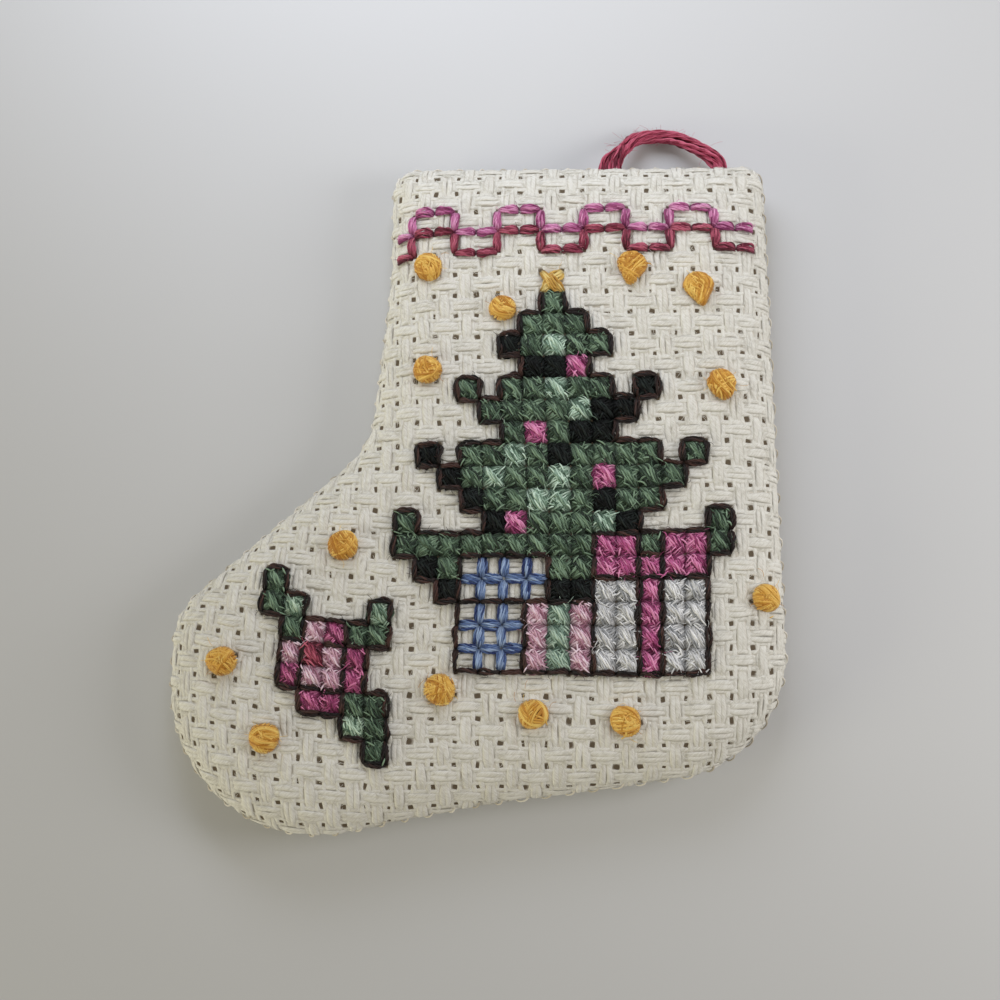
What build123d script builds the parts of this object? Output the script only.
from build123d import *
import math
import os

# A small padded stocking, lying on its back: X along the foot, Y up the leg, Z out of the stitched face.
# Lengths are in millimetres. While it is drawn, X = 0 is the left end of the cuff border and Y = 0 is the
# top of the leg on that side. At the end everything moves so that Z = 0 is the bottom centre of the whole.

# the evenweave cloth, counted in squares
square_width = 1.814
square_height = 1.878
cloth_thickness = 0.55
turned_in = 4.0

# the pad
pad_thickness = 6.0
edge_round = 2.1
filling_clearance = 0.1
side_margin = 0.75
cuff_width = 32.4
cuff_slant = 0.55
cuff_corner_round = 2.4
calf_drop = 10.65
calf_round = 30.0
ankle_set_back = 1.6
ankle_drop = 25.65
ankle_round = 7.0
heel_overhang = 0.3
heel_drop = 52.3
heel_round = 9.5
foot_length = 50.5
toe_top_drop = 39.65
toe_top_round = 6.0
toe_bottom_drop = 59.8
toe_bottom_round = 12.6
arch_place = 6.25
arch_drop = 55.35
arch_round = 20.0

# the pull of the sewing on the cloth of the toe
toe_lift = 2.3
toe_draw = 0.6
toe_lift_length = 18.0
toe_lift_power = 1.3

# threads
cross_leg_width = 0.62
under_leg_height = 0.32
over_leg_height = 0.5
thread_bevel = 0.15
bevel_share = 0.6
cross_gap = 0.28
outline_width = 0.4
outline_height = 0.4
border_width = 0.5
border_height = 0.35
gingham_width = 0.46
gingham_height = 0.35
stitch_end_gap = 0.26
knot_radius = 1.2
knot_height = 0.85

# the seam
seam_thread_width = 0.3
seam_thread_depth = 0.18
seam_stitch_length = 1.45
seam_stitch_slant = 25.0
seam_stitch_spacing = 1.9

# the hanging loop
loop_left_foot = 18.65
loop_foot_spacing = 9.75
loop_rise = 4.2
loop_width = 1.15
loop_depth = 0.9
loop_axis_gap = 0.75
loop_crown_height = 0.52
# the corners of the loop's line from its left foot, as shares of the foot spacing and the rise
loop_shape = [
    (0.0, 0.0),
    (0.13, 0.67),
    (0.4, 1.0),
    (0.68, 0.86),
    (0.92, 0.36),
    (1.0, 0.0),
]
loop_corner_rounds = (3.2, 3.0, 3.2, 2.4)

# the loop's two ends inside the seam
tail_width = 1.7
tail_depth = 0.6
tail_length = 5.5
tail_clearance = 0.02
tail_knot_radius = 0.95

# charts: one letter a square, full stops are bare cloth
tree_chart_place = (0, 6)
tree_chart = [
    ".......s.......",
    ".......g.......",
    "......ggg......",
    ".....dglgg.....",
    "......ddb......",
    "...g.gglgg.d...",
    "....ggggldd....",
    ".....gbgdd.....",
    ".d.gglgdgggg.g.",
    "..dglgglgbggg..",
    "...dggllgdgg...",
    "g...dbgggld...g",
    "gggggggggrrgrrg",
    ".dg....ggrrrrr.",
    "..d....ddwwrww.",
    "......pvpwwrww.",
    "......pvpwwrww.",
    "......pvpwwrww.",
]
rose_chart_place = (-6, 20)
rose_chart = [
    "f.....",
    "fk...k",
    ".fpmff",
    ".pcpm.",
    ".mppm.",
    "..mmff",
    "....kf",
    ".....f",
]
tree_nodes = {
    "s": "tree_star",
    "g": "tree_green_stitches",
    "d": "tree_dark_stitches",
    "l": "tree_light_stitches",
    "b": "tree_baubles",
    "p": "striped_gift_pink",
    "v": "striped_gift_green",
    "w": "bow_gift_paper",
    "r": "bow_gift_ribbon",
}
rose_nodes = {
    "f": "rose_leaves",
    "k": "rose_light_leaves",
    "p": "rose_pink_petals",
    "m": "rose_magenta_petals",
    "c": "rose_crimson_heart",
}
tree_letters = "gdlb"

# back-stitched boxes of the gifts and bow: left, top, right, bottom, in squares
gift_boxes = [
    (3, 19, 7, 21),
    (3, 21, 6, 24),
    (6, 21, 9, 24),
    (9, 20, 14, 24),
    (11, 20, 12, 24),
    (9, 18, 11, 20),
    (12, 18, 14, 20),
    (11, 19, 12, 20),
]
# back-stitched runs inside the rose: from, to, in squares
rose_runs = [
    ((-4, 22), (-4, 25)),
    ((-5, 23), (-4, 23)),
    ((-2, 22), (-2, 26)),
    ((-3, 23), (-1, 23)),
    ((-4, 25), (-2, 25)),
]
# blue straight stitches of the checked gift: from, to, in squares
gingham_runs = [
    ((4, 19), (4, 21)),
    ((5, 19), (5, 21)),
    ((6, 19), (6, 21)),
    ((3, 20), (7, 20)),
    ((4, 21), (4, 24)),
    ((5, 21), (5, 24)),
    ((3, 22), (6, 22)),
    ((3, 23), (6, 23)),
]
# battlement border: squares across, and the rows of the upper line's high and low runs
border_squares = 17
border_high_row = 3
border_low_row = 4
battlement_period = 4
battlement_start = 1
battlement_length = 2
knot_places = [
    (1.8, 5.6),
    (5.2, 7.75),
    (11.2, 5.9),
    (14.3, 7.0),
    (1.6, 10.55),
    (15.1, 11.5),
    (-2.45, 18.7),
    (16.6, 20.9),
    (-7.6, 24.3),
    (2.35, 24.75),
    (-5.5, 27.3),
    (6.45, 25.75),
    (10.4, 25.9),
]

seam_height = pad_thickness / 2


def cloth_point(column, row):
    """A hole of the cloth, with the toe's rows drawn up a little."""
    x = column * square_width
    pull = max(0.0, -x / toe_lift_length)
    return Vector(x + toe_draw * pull, -row * square_height + toe_lift * pull**toe_lift_power, 0)


def stocking_outline():
    """The closed outline as (x, y, corner radius), from the cuff's left corner down the leg and round."""
    left = -side_margin
    right = left + cuff_width
    heel = right + heel_overhang
    toe = heel - foot_length
    corners = [
        (left, 0.0, cuff_corner_round),
        (left, -calf_drop, calf_round),
        (left - ankle_set_back, -ankle_drop, ankle_round),
        (toe, -toe_top_drop, toe_top_round),
        (toe, -toe_bottom_drop, toe_bottom_round),
        (arch_place, -arch_drop, arch_round),
        (heel, -heel_drop, heel_round),
        (right, -cuff_slant, cuff_corner_round),
    ]
    points = [(x, y) for x, y, radius in corners]
    radii = [radius for x, y, radius in corners]
    return FilletPolyline(*points, radius=radii, close=True)


outline_wire = Wire(stocking_outline().edges())
outline_face = Face(outline_wire)


def inset_face(distance):
    """The outline drawn in by a distance."""
    if distance == 0:
        return outline_face
    return offset(outline_face, amount=-distance, kind=Kind.INTERSECTION).faces()[0]


def half_pad(inset, rounding, bottom, top):
    """A flat-bottomed slab of the outline's shape with its upper edge rounded."""
    slab = extrude(inset_face(inset), amount=top - bottom)
    upper_edges = slab.faces().sort_by(Axis.Z)[-1].edges()
    return Pos(0, 0, bottom) * fillet(upper_edges, rounding)


def cloth_half():
    """One cloth seen from its own side: a tray with its edge turned in, mouth down on the seam."""
    outer = half_pad(0, edge_round, 0, seam_height)
    hollow = half_pad(cloth_thickness, edge_round - cloth_thickness, 0, seam_height - cloth_thickness)
    hem = inset_face(cloth_thickness) - inset_face(cloth_thickness + turned_in)
    return outer - hollow + extrude(hem, amount=cloth_thickness)


def filling_half():
    """Half of the filling, which fits inside one cloth and over its turned-in edge."""
    wall = cloth_thickness + filling_clearance
    middle = extrude(inset_face(wall + turned_in), amount=wall)
    return middle + half_pad(wall, edge_round - wall, wall, seam_height - wall)


def mirrored(half):
    """The half for the other side of the seam, which lies at Z = 0 while the halves are made."""
    return mirror(half, about=Plane.XY)


cuff_direction = Vector(cuff_width, -cuff_slant, 0).normalized()
loop_tilt = math.degrees(math.asin((seam_height - loop_crown_height) / loop_rise))


def cuff_point(distance, outward):
    """A point along the top edge from the border's end, and outward from it, at the seam."""
    start = Vector(0, -cuff_slant * side_margin / cuff_width, seam_height)
    across = Vector(-cuff_direction.Y, cuff_direction.X, 0)
    return start + cuff_direction * distance + across * outward


def hanging_loop():
    """The arch of the loop, lying back on the surface that the stocking rests on."""
    corners = [(across * loop_foot_spacing, up * loop_rise) for across, up in loop_shape]
    path = FilletPolyline(*corners, radius=loop_corner_rounds)
    start_plane = Plane(origin=path @ 0, x_dir=(0, 0, 1), z_dir=path % 0)
    section = start_plane * Ellipse(loop_depth / 2, loop_width / 2)
    arch = sweep(section, path=path)
    foot = Plane(origin=cuff_point(loop_left_foot, loop_axis_gap), x_dir=cuff_direction, z_dir=(0, 0, 1))
    return foot * Rot(-loop_tilt, 0, 0) * arch


def loop_tail(foot_distance, clearance=0.0):
    """One end of the loop between the two turned-in edges, with its knot in the filling."""
    plane = Plane(origin=cuff_point(foot_distance, 0), x_dir=cuff_direction, z_dir=(0, 0, 1))
    strip = Box(tail_width + 2 * clearance, tail_length, tail_depth + 2 * clearance)
    knot = Sphere(tail_knot_radius + clearance)
    return plane * (Pos(0, -tail_length / 2, 0) * strip + Pos(0, -tail_length, 0) * knot)


def bevelled_bar(length, width, height):
    """A straight stitch along X, lying on Z = 0 with its upper edges bevelled."""
    half = width / 2
    bevel = min(thread_bevel, bevel_share * half, bevel_share * height)
    corners = [
        (-half, 0),
        (half, 0),
        (half, height - bevel),
        (half - bevel, height),
        (bevel - half, height),
        (-half, height - bevel),
    ]
    return extrude(Plane.YZ * Polygon(*corners, align=None), amount=length / 2, both=True)


def cross_stitch():
    """One cross: an under leg rising to the right, and an over leg falling to the right."""
    diagonal = math.hypot(square_width, square_height)
    angle = math.degrees(math.atan2(square_height, square_width))
    under = Rot(0, 0, angle) * bevelled_bar(diagonal, cross_leg_width, under_leg_height)
    over = Rot(0, 0, -angle) * bevelled_bar(diagonal, cross_leg_width, over_leg_height)
    room = Box(square_width - 2 * cross_gap, square_height - 2 * cross_gap, 2 * over_leg_height)
    return (under + over) & room


def stitched_squares(chart, place):
    """Each stitched square of a chart as (letter, column, row)."""
    squares = []
    for row, line in enumerate(chart):
        for column, letter in enumerate(line):
            if letter != ".":
                squares.append((letter, place[0] + column, place[1] + row))
    return squares


def crosses(squares, letter, template):
    """All crosses of one thread, each turned with the cloth under it."""
    found = []
    for name, column, row in squares:
        if name != letter:
            continue
        middle = cloth_point(column + 0.5, row + 0.5)
        ahead = cloth_point(column + 1, row + 0.5) - cloth_point(column, row + 0.5)
        turn = math.degrees(math.atan2(ahead.Y, ahead.X))
        found.append(Pos(middle.X, middle.Y, pad_thickness) * Rot(0, 0, turn) * template)
    return found


def run_stitches(start, end):
    """The one-square stitches of a straight run, as pairs of holes."""
    length = abs(end[0] - start[0]) + abs(end[1] - start[1])
    step = ((end[0] - start[0]) // length, (end[1] - start[1]) // length)
    holes = [(start[0] + step[0] * i, start[1] + step[1] * i) for i in range(length + 1)]
    return list(zip(holes[:-1], holes[1:]))


def box_stitches(box):
    """The one-square stitches round a box."""
    left, top, right, bottom = box
    across = run_stitches((left, top), (right, top)) + run_stitches((left, bottom), (right, bottom))
    down = run_stitches((left, top), (left, bottom)) + run_stitches((right, top), (right, bottom))
    return across + down


def border_of(squares, letters):
    """The stitches between a stitched square of the given letters and bare cloth."""
    filled = {(column, row): letter for letter, column, row in squares}
    stitches = []
    for (column, row), letter in filled.items():
        if letter not in letters:
            continue
        sides = {
            (column - 1, row): ((column, row), (column, row + 1)),
            (column + 1, row): ((column + 1, row), (column + 1, row + 1)),
            (column, row - 1): ((column, row), (column + 1, row)),
            (column, row + 1): ((column, row + 1), (column + 1, row + 1)),
        }
        stitches += [stitch for neighbour, stitch in sides.items() if neighbour not in filled]
    return stitches


def battlement(drop):
    """The stitches of one battlement line, lowered by a number of rows."""
    stitches = []
    high = border_high_row + drop
    low = border_low_row + drop
    for column in range(border_squares):
        phase = (column - battlement_start) % battlement_period
        raised = phase < battlement_length
        row = high if raised else low
        stitches.append(((column, row), (column + 1, row)))
        if raised and phase == 0:
            stitches.append(((column, high), (column, low)))
        if raised and phase == battlement_length - 1:
            stitches.append(((column + 1, high), (column + 1, low)))
    return stitches


def stitch_bar(stitch, width, height):
    """A bar between two holes, ending short of both."""
    start = cloth_point(*stitch[0])
    end = cloth_point(*stitch[1])
    middle = (start + end) / 2
    along = end - start
    turn = math.degrees(math.atan2(along.Y, along.X))
    bar = bevelled_bar(along.length - 2 * stitch_end_gap, width, height)
    return Pos(middle.X, middle.Y, pad_thickness) * Rot(0, 0, turn) * bar


def border_line(drop):
    """One line of the cuff border, bent over the pad's rounded sides."""
    top = pad_thickness + border_height
    raised_pad = half_pad(-border_height, edge_round + border_height, seam_height, top)
    skin = raised_pad - half_pad(0, edge_round, seam_height, pad_thickness)
    bars = []
    for start, end in battlement(drop):
        first = cloth_point(*start)
        last = cloth_point(*end)
        long_side = (last - first).length - 2 * stitch_end_gap
        size = (long_side, border_width) if start[1] == end[1] else (border_width, long_side)
        middle = (first + last) / 2
        bar = Box(*size, pad_thickness, align=(Align.CENTER, Align.CENTER, Align.MIN))
        bars.append(Pos(middle.X, middle.Y, seam_height + border_height) * bar)
    return (skin & Compound(bars)).solids()


def french_knot(column, row):
    """A knot as a low dome on the cloth."""
    place = cloth_point(column, row)
    ball_radius = (knot_radius**2 + knot_height**2) / (2 * knot_height)
    ball = Pos(0, 0, knot_height - ball_radius) * Sphere(ball_radius)
    dome = split(ball, bisect_by=Plane.XY, keep=Keep.TOP)
    return Pos(place.X, place.Y, pad_thickness) * dome


def seam_stitches():
    """Slanting stitches over the seam all round, apart from where the loop comes out."""
    count = round(outline_wire.length / seam_stitch_spacing)
    feet = [cuff_point(loop_left_foot, 0), cuff_point(loop_left_foot + loop_foot_spacing, 0)]
    stitches = []
    for index in range(count):
        point = outline_wire.position_at(index / count)
        tangent = outline_wire.tangent_at(index / count)
        outward = Vector(tangent.Y, -tangent.X, 0)
        probe = point + outward * seam_thread_depth
        if outline_face.is_inside(probe):
            outward = outward * -1
        place = Vector(point.X, point.Y, seam_height)
        if min((place - foot).length for foot in feet) < loop_width + seam_stitch_length / 2:
            continue
        plane = Plane(origin=place, x_dir=(0, 0, 1), z_dir=outward)
        bar = Box(seam_stitch_length, seam_thread_width, seam_thread_depth,
                  align=(Align.CENTER, Align.CENTER, Align.MIN))
        stitches.append(plane * Rot(0, 0, seam_stitch_slant) * bar)
    return stitches


def make_nodes():
    """Every node's name with its list of solids."""
    lift = Pos(0, 0, seam_height)
    tail_feet = [loop_left_foot, loop_left_foot + loop_foot_spacing]
    tail_room = [loop_tail(foot, tail_clearance) for foot in tail_feet]
    upper_cloth = cloth_half()
    upper_filling = filling_half()
    filling = lift * (upper_filling + mirrored(upper_filling))
    nodes = {
        "front_cloth": [lift * upper_cloth - tail_room],
        "back_cloth": [lift * mirrored(upper_cloth) - tail_room],
        "wadding": [filling - tail_room],
        "seam_thread": seam_stitches(),
        "hanging_loop": [hanging_loop()],
        "loop_tails": [loop_tail(foot) for foot in tail_feet],
        "border_pink_line": border_line(0),
        "border_crimson_line": border_line(1),
    }

    template = cross_stitch()
    tree_squares = stitched_squares(tree_chart, tree_chart_place)
    for letter, name in tree_nodes.items():
        nodes[name] = crosses(tree_squares, letter, template)
    rose_squares = stitched_squares(rose_chart, rose_chart_place)
    for letter, name in rose_nodes.items():
        nodes[name] = crosses(rose_squares, letter, template)

    gift_lines = sorted({stitch for box in gift_boxes for stitch in box_stitches(box)})
    tree_lines = sorted(set(border_of(tree_squares, tree_letters)) - set(gift_lines))
    inner_rose = {stitch for start, end in rose_runs for stitch in run_stitches(start, end)}
    rose_lines = sorted(inner_rose | set(border_of(rose_squares, rose_nodes)))
    blue_lines = [stitch for start, end in gingham_runs for stitch in run_stitches(start, end)]
    nodes["tree_outline"] = [stitch_bar(s, outline_width, outline_height) for s in tree_lines]
    nodes["gifts_outline"] = [stitch_bar(s, outline_width, outline_height) for s in gift_lines]
    nodes["rose_outline"] = [stitch_bar(s, outline_width, outline_height) for s in rose_lines]
    nodes["gingham_gift_lines"] = [stitch_bar(s, gingham_width, gingham_height) for s in blue_lines]
    nodes["gold_knots"] = [french_knot(*place) for place in knot_places]
    return nodes


def main():
    nodes = make_nodes()
    shapes = {name: Compound([s for p in pieces for s in p.solids()]) for name, pieces in nodes.items()}
    whole = Compound(list(shapes.values())).bounding_box()
    middle = whole.center()
    home = Pos(-middle.X, -middle.Y, -whole.min.Z)
    os.makedirs("parts", exist_ok=True)
    for name, shape in shapes.items():
        export_step(home * shape, f"parts/{name}.step")
    axis_point = home * Pos(cuff_point(loop_left_foot + loop_foot_spacing / 2, loop_axis_gap))
    print("size", whole.size)
    print("loop axis through", axis_point.position, "along", cuff_direction)
    print("loop tilt", round(loop_tilt, 2), "pattern origin at", home.position)


main()
